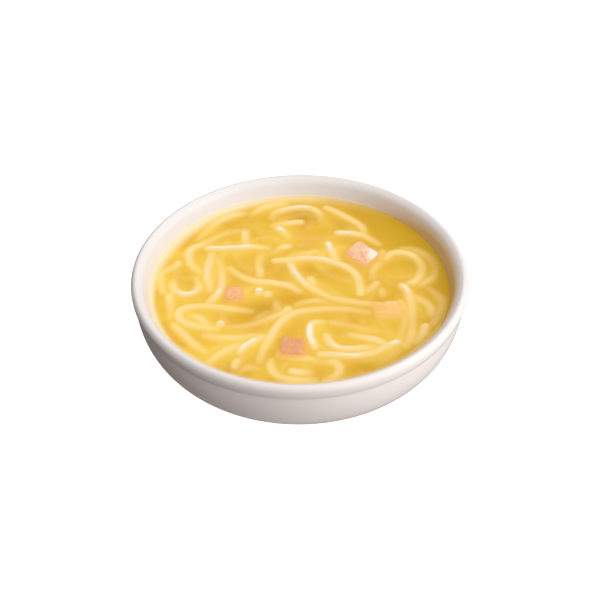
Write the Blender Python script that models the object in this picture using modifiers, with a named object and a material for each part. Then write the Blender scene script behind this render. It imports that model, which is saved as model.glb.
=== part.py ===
"""Chicken noodle soup in its round ceramic bowl.

The bowl, the broth, the mat of noodles that floats at its surface and the four
pieces of chicken that break the surface are separate closed solids.
Metres, +Z up, origin on the table under the middle of the bowl.
"""

import math

import bpy
from mathutils import Euler, Matrix, Vector

MM = 0.001
GAP = 0.3 * MM  # clearance between solids that lie against each other

# Bowl
RIM_RADIUS = 75 * MM
BOWL_HEIGHT = 37 * MM
SHOULDER_RADIUS = 3 * MM  # of the rim's rounded outer side
LIP_RADIUS = 1.6 * MM  # of the tighter curve over its top
MOUTH_RADIUS = 6 * MM  # of the slow curve that leads from the lip down into the bowl
TUCK_RADIUS = 9 * MM  # of the slow curve under its widest point
SHOULDER_TOP_DEGREES = 48  # where the shoulder passes into the lip
MOUTH_TOP_DEGREES = 115  # and where the lip passes into the mouth
TUCK_END_DEGREES = -27
FLARE_DEGREES = 66  # slope of the inner wall where it meets the mouth
CREASE_WIDTH = 0.3 * MM  # the rim stands out past the wall by this much at its lower end
CREASE_DROP = 1.25 * MM
WALL_CENTRE_RADIUS = 56 * MM  # where the outer wall's curve turns level
FOOT_RADIUS = 52 * MM
FOOT_HEIGHT = 2.8 * MM
FOOT_WIDTH = 4 * MM
FLOOR_THICKNESS = 4.5 * MM
RECESS_HEIGHT = 2.3 * MM  # of the underside within the foot ring
INNER_FLOOR_RADIUS = 44 * MM
FLOOR_HANDLE = 18 * MM  # how far the level floor leads the inner wall's curve
FLARE_HANDLE = 20 * MM  # and how far the straight flare does
TURN_STEPS = 64  # facets round everything that is turned

# Soup
BROTH_DEPTH_BELOW_RIM = 8.5 * MM
MAT_RADIUS = 56 * MM
MAT_DEPTH = 9.5 * MM
MAT_PROUD = 0.3 * MM  # mean height of the floating noodles above the broth
MAT_RELIEF = 0.25 * MM
MAT_RINGS = 11
COIL_PITCH = 14 * MM  # distance from one swell of the coiled noodles to the next

BROTH_LEVEL = BOWL_HEIGHT - BROTH_DEPTH_BELOW_RIM
INNER_FLOOR_HEIGHT = RECESS_HEIGHT + FLOOR_THICKNESS


# ---------------------------------------------------------------- helpers


def material(name, colour, roughness):
    made = bpy.data.materials.new(name)
    made.use_nodes = True
    shader = made.node_tree.nodes["Principled BSDF"]
    shader.inputs["Base Color"].default_value = (*colour, 1)
    shader.inputs["Roughness"].default_value = roughness
    shader.inputs["Metallic"].default_value = 0
    return made


def ellipse_arc(centre, semi_axes, first_degrees, last_degrees, steps):
    """Points (radius, height) along an arc of an ellipse, its angles from +radius."""
    points = []
    for step in range(steps + 1):
        share = step / steps
        angle = math.radians(first_degrees + (last_degrees - first_degrees) * share)
        points.append(
            (
                centre[0] + semi_axes[0] * math.cos(angle),
                centre[1] + semi_axes[1] * math.sin(angle),
            )
        )
    return points


def turned(name, profile, collection):
    """A profile in the XZ plane turned about Z. It runs down its outer side."""
    mesh = bpy.data.meshes.new(name)
    points = [(radius, 0, height) for radius, height in profile]
    edges = [(i, i + 1) for i in range(len(points) - 1)]
    mesh.from_pydata(points, edges, [])
    made = bpy.data.objects.new(name, mesh)
    collection.objects.link(made)
    screw = made.modifiers.new("turn", "SCREW")
    screw.axis = "Z"
    screw.steps = screw.render_steps = TURN_STEPS
    screw.use_merge_vertices = True
    screw.merge_threshold = 0.00001
    return made


def as_mesh(made):
    """Replaces an object's mesh and modifiers with the mesh that they give."""
    graph = bpy.context.evaluated_depsgraph_get()
    evaluated = made.evaluated_get(graph)
    mesh = bpy.data.meshes.new_from_object(evaluated)
    made.modifiers.clear()
    made.data = mesh
    return made


def give_material(made, chosen):
    made.data.materials.clear()
    made.data.materials.append(chosen)


def cut(made, cutter):
    cut_away = made.modifiers.new("cut " + cutter.name, "BOOLEAN")
    cut_away.operation = "DIFFERENCE"
    cut_away.object = cutter


def hide_as_cutter(made):
    made.hide_render = True
    made.display_type = "WIRE"


# ------------------------------------------------------------------- bowl


def rim_centres():
    """Middles (radius, height) of the rim's four curves: mouth, lip, shoulder and tuck."""
    slope = math.radians(SHOULDER_TOP_DEGREES)
    apart = SHOULDER_RADIUS - LIP_RADIUS
    widest = BOWL_HEIGHT - LIP_RADIUS - apart * math.sin(slope)
    shoulder_radius = RIM_RADIUS - SHOULDER_RADIUS
    lip = Vector((shoulder_radius + apart * math.cos(slope), BOWL_HEIGHT - LIP_RADIUS))
    turn = math.radians(MOUTH_TOP_DEGREES)
    mouth = lip - (MOUTH_RADIUS - LIP_RADIUS) * Vector((math.cos(turn), math.sin(turn)))
    return mouth, lip, Vector((shoulder_radius, widest)), Vector((RIM_RADIUS - TUCK_RADIUS, widest))


def wall_point(share, inset):
    """A point (radius, height) of the bowl's inside, moved in from it by inset."""
    mouth = rim_centres()[0]
    slope = math.radians(FLARE_DEGREES)
    flare = Vector((math.cos(slope), math.sin(slope)))
    top = mouth + MOUTH_RADIUS * Vector((-flare.y, flare.x))
    start = Vector((INNER_FLOOR_RADIUS, INNER_FLOOR_HEIGHT))
    after = start + Vector((FLOOR_HANDLE, 0))
    before = top - FLARE_HANDLE * flare
    left = 1 - share
    place = (
        start * left**3
        + after * 3 * share * left**2
        + before * 3 * share**2 * left
        + top * share**3
    )
    ahead = (
        (after - start) * left**2
        + (before - after) * 2 * share * left
        + (top - before) * share**2
    ).normalized()
    return place + inset * Vector((-ahead.y, ahead.x))


def inner_wall(inset, top, steps):
    """The inside of the bowl from the floor's edge up to a height, moved in by inset."""
    low, high = 0.0, 1.0
    for _ in range(30):
        middle = (low + high) / 2
        if wall_point(middle, inset).y < top:
            low = middle
        else:
            high = middle
    return [tuple(wall_point(high * step / steps, inset)) for step in range(steps + 1)]


def bowl_profile():
    mouth, lip, shoulder, tuck = rim_centres()
    foot_inner = FOOT_RADIUS - FOOT_WIDTH
    rounding = 0.5 * MM
    profile = [(0, INNER_FLOOR_HEIGHT)]
    profile += inner_wall(0, BOWL_HEIGHT, 9)
    # Each curve starts where the one before it ends, so its first point is left out.
    profile += ellipse_arc(
        mouth, (MOUTH_RADIUS, MOUTH_RADIUS), 90 + FLARE_DEGREES, MOUTH_TOP_DEGREES, 2
    )[1:]
    profile += ellipse_arc(
        lip, (LIP_RADIUS, LIP_RADIUS), MOUTH_TOP_DEGREES, SHOULDER_TOP_DEGREES, 3
    )[1:]
    profile += ellipse_arc(
        shoulder, (SHOULDER_RADIUS, SHOULDER_RADIUS), SHOULDER_TOP_DEGREES, 0, 3
    )[1:]
    profile += ellipse_arc(tuck, (TUCK_RADIUS, TUCK_RADIUS), 0, TUCK_END_DEGREES, 2)[1:]
    crease_radius, crease_height = profile[-1]
    # The wall is a quarter of an ellipse from the crease in to the foot.
    wall_top = crease_height - CREASE_DROP
    profile += ellipse_arc(
        (WALL_CENTRE_RADIUS, wall_top),
        (crease_radius - CREASE_WIDTH - WALL_CENTRE_RADIUS, wall_top - FOOT_HEIGHT),
        0,
        -86,
        8,
    )
    profile += [
        (FOOT_RADIUS + 0.8 * MM, FOOT_HEIGHT),
        (FOOT_RADIUS, FOOT_HEIGHT - 0.8 * MM),
        (FOOT_RADIUS, rounding),
        (FOOT_RADIUS - rounding, 0),
        (foot_inner + rounding, 0),
        (foot_inner, rounding),
        (foot_inner - MM, RECESS_HEIGHT),
        (0, RECESS_HEIGHT),
    ]
    return profile


def make_bowl(collection, glaze):
    bowl = turned("bowl", bowl_profile(), collection)
    give_material(bowl, glaze)
    return bowl


# ---------------------------------------------------------------- noodles


def mat_outline(angle):
    """How far the floating noodles reach at this angle, as a share of MAT_RADIUS."""
    return (
        1
        + 0.045 * math.cos(angle - math.radians(215))
        + 0.028 * math.cos(3 * angle + 0.8)
        + 0.018 * math.cos(5 * angle - 0.6)
        + 0.010 * math.cos(9 * angle + 2.0)
    )


def mat_swell(radius, angle):
    """The height of the mat's top over its mean: the noodles lie in loose coils."""
    wander = 1.6 * math.sin(2 * angle + 0.5) + 0.9 * math.sin(3 * angle - 1)
    coils = math.sin(2 * math.pi * radius / COIL_PITCH + wander)
    return MAT_RELIEF * coils * min(1, radius / COIL_PITCH)


def mat_profile(grow, top):
    """The mat's section: a flat top, a steep side and a rounded underside."""
    side_top = BROTH_LEVEL - 2.5 * MM
    bottom = BROTH_LEVEL - MAT_DEPTH - grow
    radius = MAT_RADIUS + grow
    corner = 6 * MM
    flat = radius - 0.4 * MM
    profile = [(flat * ring / MAT_RINGS, top) for ring in range(MAT_RINGS + 1)]
    profile.append((radius, BROTH_LEVEL - 0.4 * MM))
    profile += ellipse_arc(
        (radius - corner, side_top), (corner, side_top - bottom), 0, -90, 4
    )
    profile.append((0, bottom))
    return profile


def noodle_mat(name, grow, top, relief, collection):
    mat = as_mesh(turned(name, mat_profile(grow, top), collection))
    for vertex in mat.data.vertices:
        x, y, z = vertex.co
        angle = math.atan2(y, x)
        vertex.co.x = x * mat_outline(angle)
        vertex.co.y = y * mat_outline(angle)
        if relief and z > BROTH_LEVEL:
            vertex.co.z = z + mat_swell(math.hypot(x, y), angle)
    return mat


# ---------------------------------------------------------------- chicken

# name: middle over the table plan, size, middle's height over the broth, tilt about X, Y and Z
CHICKEN = {
    "chicken_1": ((28.8, 23.4), (9.8, 11.8, 7.5), -2.5, (4, -3, 50)),
    "chicken_2": ((-29.6, -4.6), (6.8, 7.4, 6.0), -2.0, (5, 3, 4)),
    "chicken_3": ((-3.5, -40.1), (9.6, 8.7, 7.0), -2.4, (-7, 3, -4)),
    "chicken_4": ((39.0, -15.7), (10.6, 9.9, 6.0), -2.2, (1, -2, 7)),
}
CORNER_SKEW = 0.09  # how unevenly a dice of meat is cut, as a share of its size
EDGE_ROUNDING = 1.1 * MM


def dice_of_meat(name, index, grow, collection):
    """A hand-cut dice: a box with uneven corners and rounded edges."""
    plan, size, height, tilt = CHICKEN[name.removesuffix("_cutter")]
    bpy.ops.mesh.primitive_cube_add(size=1)
    dice = bpy.context.object
    dice.name = name
    for owner in list(dice.users_collection):
        owner.objects.unlink(dice)
    collection.objects.link(dice)
    for number, vertex in enumerate(dice.data.vertices):
        for axis in range(3):
            skew = CORNER_SKEW * math.sin(2.4 * number + 1.7 * axis + 2.1 * index)
            reach = size[axis] * MM * (1 + skew) + 2 * grow
            vertex.co[axis] *= reach
    turn = Euler([math.radians(angle) for angle in tilt]).to_matrix().to_4x4()
    middle = Vector((plan[0] * MM, plan[1] * MM, BROTH_LEVEL + height * MM))
    dice.data.transform(Matrix.Translation(middle) @ turn)
    bevel = dice.modifiers.new("rounded edges", "BEVEL")
    bevel.width = EDGE_ROUNDING
    bevel.segments = 2
    return dice


# ------------------------------------------------------------------ broth


def broth_profile():
    wall = inner_wall(GAP, BROTH_LEVEL, 9)
    return [(0, BROTH_LEVEL), *reversed(wall), (0, INNER_FLOOR_HEIGHT + GAP)]


def make_soup(collection, cutters, paints):
    broth = turned("broth", broth_profile(), collection)
    noodles = noodle_mat("noodles", 0, BROTH_LEVEL + MAT_PROUD, True, collection)
    pocket = noodle_mat("pocket_cutter", GAP, BROTH_LEVEL + 3 * MM, False, cutters)
    hide_as_cutter(pocket)
    cut(broth, pocket)
    give_material(broth, paints["broth"])
    give_material(noodles, paints["noodles"])
    for index, name in enumerate(CHICKEN):
        meat = dice_of_meat(name, index, 0, collection)
        give_material(meat, paints["chicken"])
        well = dice_of_meat(name + "_cutter", index, GAP, cutters)
        hide_as_cutter(well)
        cut(noodles, well)


# --------------------------------------------------------------- the part


def main():
    for old in list(bpy.data.objects):
        bpy.data.objects.remove(old)
    collection = bpy.data.collections.new("chicken_noodle_soup")
    cutters = bpy.data.collections.new("cutters")
    for made in (collection, cutters):
        bpy.context.scene.collection.children.link(made)
    paints = {
        "glaze": material("white glaze", (0.80, 0.77, 0.73), 0.2),
        "broth": material("chicken broth", (0.78, 0.48, 0.08), 0.08),
        "noodles": material("egg noodle", (0.92, 0.72, 0.34), 0.35),
        "chicken": material("cooked chicken", (0.88, 0.50, 0.30), 0.45),
    }
    make_bowl(collection, paints["glaze"])
    make_soup(collection, cutters, paints)


main()
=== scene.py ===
"""A bowl of chicken noodle soup: a white stoneware bowl with a rolled rim, filled with cloudy
yellow broth in which thin egg noodles and diced chicken float. Metres, +Z up."""

import math
import random

import bmesh
import bpy
from mathutils import Matrix, Vector, kdtree, noise


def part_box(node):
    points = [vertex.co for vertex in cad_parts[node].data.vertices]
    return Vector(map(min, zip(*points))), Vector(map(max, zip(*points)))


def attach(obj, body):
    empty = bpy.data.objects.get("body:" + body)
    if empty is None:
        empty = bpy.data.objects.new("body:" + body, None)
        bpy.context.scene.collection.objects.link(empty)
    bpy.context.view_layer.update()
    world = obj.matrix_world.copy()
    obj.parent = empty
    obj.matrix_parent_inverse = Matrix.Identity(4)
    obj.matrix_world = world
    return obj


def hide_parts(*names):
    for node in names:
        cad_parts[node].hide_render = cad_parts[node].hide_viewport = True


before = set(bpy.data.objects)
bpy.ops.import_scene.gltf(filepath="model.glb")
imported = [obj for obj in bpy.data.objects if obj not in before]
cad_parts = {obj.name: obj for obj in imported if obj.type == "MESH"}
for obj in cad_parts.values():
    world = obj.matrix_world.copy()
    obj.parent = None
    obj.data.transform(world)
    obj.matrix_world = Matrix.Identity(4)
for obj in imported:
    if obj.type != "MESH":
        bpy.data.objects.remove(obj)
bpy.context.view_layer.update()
random.seed(7)


# ------------------------------------------------------------ table and light
# The bowl stands on a plain white table in a white studio. It is lit from all round, most
# from the upper right, and a dark screen stands low down at the front left.

MM = 0.001
TABLE_SIZE = 6.0
LAMP_PLACE = Vector((0.60, -0.20, 0.50))
LAMP_AIM = Vector((0, 0, 0.03))
LAMP_SIZE = 0.40
LAMP_POWER = 0.8
STUDIO_MEAN = 0.87
STUDIO_SLOPE = (0.32, -0.53, 0.37)  # how much brighter it is towards the right, front and top
SCREEN_WAY = (-0.75, -0.63, -0.20)
SCREEN_DARKNESS = 1.2


def srgb(code):
    """A six-digit sRGB hex colour as linear RGBA."""
    channels = []
    for start in (0, 2, 4):
        value = int(code[start : start + 2], 16) / 255
        linear = value / 12.92 if value <= 0.04045 else ((value + 0.055) / 1.055) ** 2.4
        channels.append(linear)
    return (*channels, 1.0)


def plug(node, sockets):
    """Gives inputs of a node a value or another node's output each."""
    for name, value in sockets.items():
        if isinstance(value, bpy.types.NodeSocket):
            node.id_data.links.new(value, node.inputs[name])
        else:
            node.inputs[name].default_value = value


def add(tree, kind, sockets=None, **settings):
    """Adds a shader node and plugs in its sockets. A Mix node mixes colours unless told."""
    made = tree.nodes.new("ShaderNode" + kind)
    if kind == "Mix":
        made.data_type = "RGBA"
    for name, value in settings.items():
        setattr(made, name, value)
    plug(made, sockets or {})
    return made


def new_material(name):
    made = bpy.data.materials.new(name)
    made.use_nodes = True
    return made, made.node_tree, made.node_tree.nodes["Principled BSDF"]


def put(name, data):
    """A new object in the scene."""
    made = bpy.data.objects.new(name, data)
    bpy.context.collection.objects.link(made)
    return made


def make_table():
    shape = bmesh.new()
    bmesh.ops.create_grid(shape, x_segments=8, y_segments=8, size=TABLE_SIZE / 2)
    mesh = bpy.data.meshes.new("table")
    shape.to_mesh(mesh)
    shape.free()
    table = put("table", mesh)
    # White laminate: matt, and so bright that only the softest shadow shows on it.
    paint, tree, shader = new_material("white laminate")
    clouds = add(tree, "TexNoise", {"Scale": 3.0, "Detail": 2.0})
    tone = add(tree, "Mix", {0: clouds.outputs["Fac"], 6: srgb("FFFFFF"), 7: srgb("FDFDFD")})
    plug(shader, {"Base Color": tone.outputs[2], "Roughness": 0.9, "Specular IOR Level": 0.1,
                  "Emission Color": srgb("FFFFFF"), "Emission Strength": 0.8})
    mesh.materials.append(paint)
    # The table is far brighter than the bowl stands to take from below, so it sends no
    # light, and the studio's own light comes up through it.
    table.visible_diffuse = False
    table.visible_glossy = False
    table.visible_shadow = False


def make_lamp():
    light = bpy.data.lights.new("soft lamp", "AREA")
    light.shape = "DISK"
    light.size = LAMP_SIZE
    light.energy = LAMP_POWER
    light.color = srgb("FFFAF4")[:3]
    lamp = put("soft lamp", light)
    lamp.location = LAMP_PLACE
    lamp.rotation_euler = (LAMP_AIM - LAMP_PLACE).to_track_quat("-Z", "Y").to_euler()


def light_studio():
    world = bpy.data.worlds.new("white studio")
    world.use_nodes = True
    tree = world.node_tree
    # The brightness falls evenly away from the upper right and the front, and further at
    # the screen.
    way = add(tree, "TexCoord").outputs["Generated"]
    side = add(tree, "VectorMath", {0: way, 1: STUDIO_SLOPE}, operation="DOT_PRODUCT")
    bright = add(tree, "Math", {0: side.outputs["Value"], 1: STUDIO_MEAN})
    facing = add(tree, "VectorMath", {0: way, 1: SCREEN_WAY}, operation="DOT_PRODUCT")
    screen = add(tree, "MapRange", {0: facing.outputs["Value"], 1: 0.2, 2: 1.0,
                                    4: SCREEN_DARKNESS})
    left = add(tree, "Math", {0: bright.outputs[0], 1: screen.outputs[0]}, operation="SUBTRACT")
    lit = add(tree, "Math", {0: left.outputs[0], 1: 0.0}, operation="MAXIMUM")
    # Where the studio itself shows, it is evenly bright.
    seen = add(tree, "LightPath").outputs["Is Camera Ray"]
    shown = add(tree, "Mix", {0: seen, 2: lit.outputs[0], 3: 1.0}, data_type="FLOAT")
    # What comes from the lower left has bounced off the walls, and is a shade pinker.
    bounce = add(tree, "VectorMath", {0: way, 1: (0.7, 0, 0.6)}, operation="DOT_PRODUCT")
    clear = add(tree, "MapRange", {0: bounce.outputs["Value"], 1: -0.8, 2: 0.4})
    tint = add(tree, "Mix", {0: clear.outputs[0], 6: srgb("FFE6E2"), 7: srgb("FFFDFC")})
    plug(tree.nodes["Background"], {"Color": tint.outputs[2], "Strength": shown.outputs[0]})
    bpy.context.scene.world = world
    bpy.context.scene.view_settings.view_transform = "Standard"


make_table()
make_lamp()
light_studio()


# --------------------------------------------------------------------- camera
# A long lens at arm's length, looking down into the bowl by forty degrees and
# held a little askew.

CAMERA_AIM = Vector((0.0001, 0, 0.0204))
CAMERA_DISTANCE = 0.675
CAMERA_DOWN = math.radians(40.6)
CAMERA_ROLL = math.radians(-0.55)
CAMERA_LENS = 89.66


def make_camera():
    lens = bpy.data.cameras.new("camera")
    lens.sensor_width = 36
    lens.lens = CAMERA_LENS
    lens.clip_start = 0.01
    camera = put("camera", lens)
    back = Vector((0, -math.cos(CAMERA_DOWN), math.sin(CAMERA_DOWN)))
    place = Matrix.Translation(CAMERA_AIM + CAMERA_DISTANCE * back)
    tilt = Matrix.Rotation(math.pi / 2 - CAMERA_DOWN, 4, "X")
    roll = Matrix.Rotation(CAMERA_ROLL, 4, "Z")
    camera.matrix_world = place @ tilt @ roll
    bpy.context.scene.camera = camera


make_camera()


# ----------------------------------------------------------------------- bowl
# A soup bowl of white stoneware, pressed in a mould: the rim is rolled over outwards
# and a faint hollow runs under it. It was dipped in clear glossy glaze and stood on
# its foot ring in the kiln, so the ring's underside is bare clay.

RIM_RADIUS = 75 * MM
BOWL_HEIGHT = 37 * MM
SHOULDER_RADIUS = 3 * MM
LIP_RADIUS = 1.6 * MM
MOUTH_RADIUS = 6 * MM
TUCK_RADIUS = 9 * MM
SHOULDER_TOP_DEGREES = 48
MOUTH_TOP_DEGREES = 115
TUCK_END_DEGREES = -27
FLARE_DEGREES = 66
CREASE_RADIUS = 2.75 * MM
BROTH_DROP = 8.5 * MM  # from the rim down to the broth
WALL_CENTRE_RADIUS = 56 * MM
FOOT_RADIUS = 52 * MM
FOOT_HEIGHT = 2.8 * MM
FOOT_WIDTH = 4 * MM
FLOOR_THICKNESS = 4.5 * MM
RECESS_HEIGHT = 2.3 * MM
INNER_FLOOR_RADIUS = 44 * MM
INNER_FLOOR_HEIGHT = RECESS_HEIGHT + FLOOR_THICKNESS
FLOOR_HANDLE = 18 * MM
FLARE_HANDLE = 20 * MM
BOWL_TURN_STEPS = 240


def ellipse_arc(centre, semi_axes, first_degrees, last_degrees, steps):
    """Points (radius, height) along an arc of an ellipse, its angles from +radius."""
    points = []
    for step in range(steps + 1):
        share = step / steps
        angle = math.radians(first_degrees + (last_degrees - first_degrees) * share)
        points.append((centre[0] + semi_axes[0] * math.cos(angle),
                       centre[1] + semi_axes[1] * math.sin(angle)))
    return points


def rim_centres():
    """Middles (radius, height) of the rim's four curves: mouth, lip, shoulder and tuck."""
    slope = math.radians(SHOULDER_TOP_DEGREES)
    apart = SHOULDER_RADIUS - LIP_RADIUS
    widest = BOWL_HEIGHT - LIP_RADIUS - apart * math.sin(slope)
    shoulder_radius = RIM_RADIUS - SHOULDER_RADIUS
    lip = Vector((shoulder_radius + apart * math.cos(slope), BOWL_HEIGHT - LIP_RADIUS))
    turn = math.radians(MOUTH_TOP_DEGREES)
    mouth = lip - (MOUTH_RADIUS - LIP_RADIUS) * Vector((math.cos(turn), math.sin(turn)))
    return mouth, lip, Vector((shoulder_radius, widest)), Vector((RIM_RADIUS - TUCK_RADIUS, widest))


def wall_point(share, inset):
    """A point (radius, height) of the bowl's inside, moved in from it by inset."""
    slope = math.radians(FLARE_DEGREES)
    flare = Vector((math.cos(slope), math.sin(slope)))
    top = rim_centres()[0] + MOUTH_RADIUS * Vector((-flare.y, flare.x))
    start = Vector((INNER_FLOOR_RADIUS, INNER_FLOOR_HEIGHT))
    after = start + Vector((FLOOR_HANDLE, 0))
    before = top - FLARE_HANDLE * flare
    left = 1 - share
    place = (start * left ** 3 + after * 3 * share * left ** 2
             + before * 3 * share ** 2 * left + top * share ** 3)
    ahead = ((after - start) * left ** 2 + (before - after) * 2 * share * left
             + (top - before) * share ** 2).normalized()
    return place + inset * Vector((-ahead.y, ahead.x))


def inner_wall(inset, top, steps):
    """The inside of the bowl from the floor's edge up to a height, moved in by inset."""
    low, high = 0.0, 1.0
    for _ in range(30):
        middle = (low + high) / 2
        if wall_point(middle, inset).y < top:
            low = middle
        else:
            high = middle
    return [tuple(wall_point(high * step / steps, inset)) for step in range(steps + 1)]


def bowl_profile():
    mouth, lip, shoulder, tuck = rim_centres()
    foot_inner = FOOT_RADIUS - FOOT_WIDTH
    profile = [(radius * MM, INNER_FLOOR_HEIGHT) for radius in range(0, 44, 4)]
    profile += inner_wall(0, BOWL_HEIGHT, 40)
    profile += ellipse_arc(mouth, (MOUTH_RADIUS, MOUTH_RADIUS), 90 + FLARE_DEGREES,
                           MOUTH_TOP_DEGREES, 10)[1:]
    profile += ellipse_arc(lip, (LIP_RADIUS, LIP_RADIUS), MOUTH_TOP_DEGREES,
                           SHOULDER_TOP_DEGREES, 12)[1:]
    profile += ellipse_arc(shoulder, (SHOULDER_RADIUS, SHOULDER_RADIUS),
                           SHOULDER_TOP_DEGREES, 0, 8)[1:]
    profile += ellipse_arc(tuck, (TUCK_RADIUS, TUCK_RADIUS), 0, TUCK_END_DEGREES, 10)[1:]
    # The glaze fills the crease between the roll and the wall to a shallow hollow.
    crease_radius, crease_height = profile[-1]
    slope = math.radians(TUCK_END_DEGREES)
    wall_radius = crease_radius - CREASE_RADIUS * (1 - math.cos(slope))
    wall_top = crease_height + CREASE_RADIUS * math.sin(slope)
    profile += ellipse_arc((wall_radius + CREASE_RADIUS, wall_top),
                           (CREASE_RADIUS, CREASE_RADIUS), 180 + TUCK_END_DEGREES, 180, 6)[1:-1]
    profile += ellipse_arc((WALL_CENTRE_RADIUS, wall_top),
                           (wall_radius - WALL_CENTRE_RADIUS, wall_top - FOOT_HEIGHT),
                           0, -88, 44)
    profile += [
        (FOOT_RADIUS + 1.2 * MM, FOOT_HEIGHT),
        (FOOT_RADIUS + 0.4 * MM, FOOT_HEIGHT - 0.25 * MM),
        (FOOT_RADIUS, FOOT_HEIGHT - 0.9 * MM),
        (FOOT_RADIUS, 0.7 * MM),
        (FOOT_RADIUS - 0.15 * MM, 0.25 * MM),
        (FOOT_RADIUS - 0.5 * MM, 0),
        (foot_inner + 0.5 * MM, 0),
        (foot_inner + 0.15 * MM, 0.25 * MM),
        (foot_inner, 0.7 * MM),
        (foot_inner - 0.3 * MM, RECESS_HEIGHT - 0.5 * MM),
        (foot_inner - MM, RECESS_HEIGHT),
        (0, RECESS_HEIGHT),
    ]
    return profile


def turned(name, profile, steps):
    """A profile (radius, height) turned about Z, both its ends on the axis."""
    shape = bmesh.new()
    corners = [shape.verts.new((radius, 0, height)) for radius, height in profile]
    edges = [shape.edges.new(pair) for pair in zip(corners, corners[1:])]
    bmesh.ops.spin(shape, geom=corners + edges, axis=(0, 0, 1), cent=(0, 0, 0),
                   angle=2 * math.pi, steps=steps, use_merge=True)
    bmesh.ops.remove_doubles(shape, verts=shape.verts, dist=0.002 * MM)
    bmesh.ops.recalc_face_normals(shape, faces=shape.faces)
    mesh = bpy.data.meshes.new(name)
    shape.to_mesh(mesh)
    shape.free()
    mesh.shade_smooth()
    return put(name, mesh)


def glazed_stoneware():
    """Clear glaze over white clay: an even gloss over a body that is a little warm."""
    glaze, tree, shader = new_material("glazed stoneware")
    place = add(tree, "TexCoord").outputs["Object"]
    # The glaze gathers in soft patches 25 mm across, which shift its tone a little.
    patches = add(tree, "TexNoise", {"Vector": place, "Scale": 1 / (25 * MM), "Detail": 3.0})
    tone = add(tree, "Mix", {0: patches.outputs["Fac"], 6: srgb("E8E3E0"), 7: srgb("E3DEDB")})
    # Painted shade and painted bounce light: on the right the wall above the soup is painted a dark
    # broth colour, for the shade there and the yellow light that the broth throws on it.
    split = add(tree, "SeparateXYZ", {0: place})
    flat = add(tree, "CombineXYZ", {0: split.outputs[0], 1: split.outputs[1]})
    radius = add(tree, "VectorMath", {0: flat.outputs[0]}, operation="LENGTH")
    within = add(tree, "MapRange", {0: radius.outputs["Value"], 1: RIM_RADIUS - 4.5 * MM,
                                    2: RIM_RADIUS - 2.5 * MM, 3: 1.0, 4: 0.0})
    upper = add(tree, "MapRange", {0: split.outputs[2], 1: 20 * MM, 2: 24 * MM})
    inside = add(tree, "Math", {0: within.outputs[0], 1: upper.outputs[0]},
                 operation="MULTIPLY")
    low = add(tree, "MapRange", {0: split.outputs[2], 1: BOWL_HEIGHT - BROTH_DROP,
                                 2: BOWL_HEIGHT - 0.5 * MM, 3: 1.0, 4: 0.0})
    above = add(tree, "MapRange", {0: split.outputs[2], 1: BOWL_HEIGHT - 10.5 * MM,
                                   2: BOWL_HEIGHT - 9.5 * MM})
    aside = add(tree, "VectorMath", {0: place, 1: (0.95, -0.25, 0)}, operation="DOT_PRODUCT")
    right = add(tree, "MapRange", {0: aside.outputs["Value"], 1: 0.0, 2: 68 * MM, 3: 0.03,
                                   4: 1.9}, interpolation_type="SMOOTHSTEP")
    painted_bounce_shade = inside
    for part in (low, above, right):
        painted_bounce_shade = add(tree, "Math", {0: painted_bounce_shade.outputs[0], 1: part.outputs[0]}, operation="MULTIPLY")
    # Inside, the glaze is painted a shade cooler, to offset the warm light that the broth throws on
    # it.
    tone = add(tree, "Mix", {0: inside.outputs[0], 6: tone.outputs[2], 7: srgb("E1E0E3")})
    # Painted shade and broth-coloured bounce light on the wall at the right.
    tone = add(tree, "Mix", {0: painted_bounce_shade.outputs[0], 6: tone.outputs[2], 7: srgb("CAAC7C")})
    # Painted light: on the lit left a pale band just over a millimetre high is painted above the
    # waterline.
    painted_waterline_light = add(tree, "MapRange", {0: split.outputs[2], 1: BOWL_HEIGHT - 8.3 * MM,
                                  2: BOWL_HEIGHT - 7.0 * MM, 3: 0.7, 4: 0.0},
               interpolation_type="SMOOTHSTEP")
    left = add(tree, "MapRange", {0: aside.outputs["Value"], 1: -5 * MM, 2: 35 * MM, 3: 1.0,
                                  4: 0.0}, interpolation_type="SMOOTHSTEP")
    for part in (inside, left):
        painted_waterline_light = add(tree, "Math", {0: painted_waterline_light.outputs[0], 1: part.outputs[0]}, operation="MULTIPLY")
    tone = add(tree, "Mix", {0: painted_waterline_light.outputs[0], 6: tone.outputs[2], 7: srgb("F6E6B4")})
    # Orange peel about 3 mm across, the last trace of the dip coat.
    peel = add(tree, "TexNoise", {"Vector": place, "Scale": 1 / (3 * MM), "Detail": 1.0})
    bump = add(tree, "Bump", {"Height": peel.outputs["Fac"], "Strength": 0.05,
                              "Distance": 0.05 * MM})
    plug(shader, {"Base Color": tone.outputs[2], "Normal": bump.outputs["Normal"],
                  "Roughness": 0.22, "IOR": 1.5})
    return glaze


def bare_clay():
    """Fired clay without glaze: matt, cream and finely gritty."""
    clay, tree, shader = new_material("bare fired clay")
    place = add(tree, "TexCoord").outputs["Object"]
    # Grit of 0.4 mm, twice as coarse as the real grog.
    grit = add(tree, "TexNoise", {"Vector": place, "Scale": 1 / (0.4 * MM), "Detail": 4.0})
    tone = add(tree, "Mix", {0: grit.outputs["Fac"], 6: srgb("E9DFCF"), 7: srgb("CFC1AC")})
    bump = add(tree, "Bump", {"Height": grit.outputs["Fac"], "Strength": 0.4,
                              "Distance": 0.1 * MM})
    plug(shader, {"Base Color": tone.outputs[2], "Normal": bump.outputs["Normal"],
                  "Roughness": 0.85})
    return clay


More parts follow.
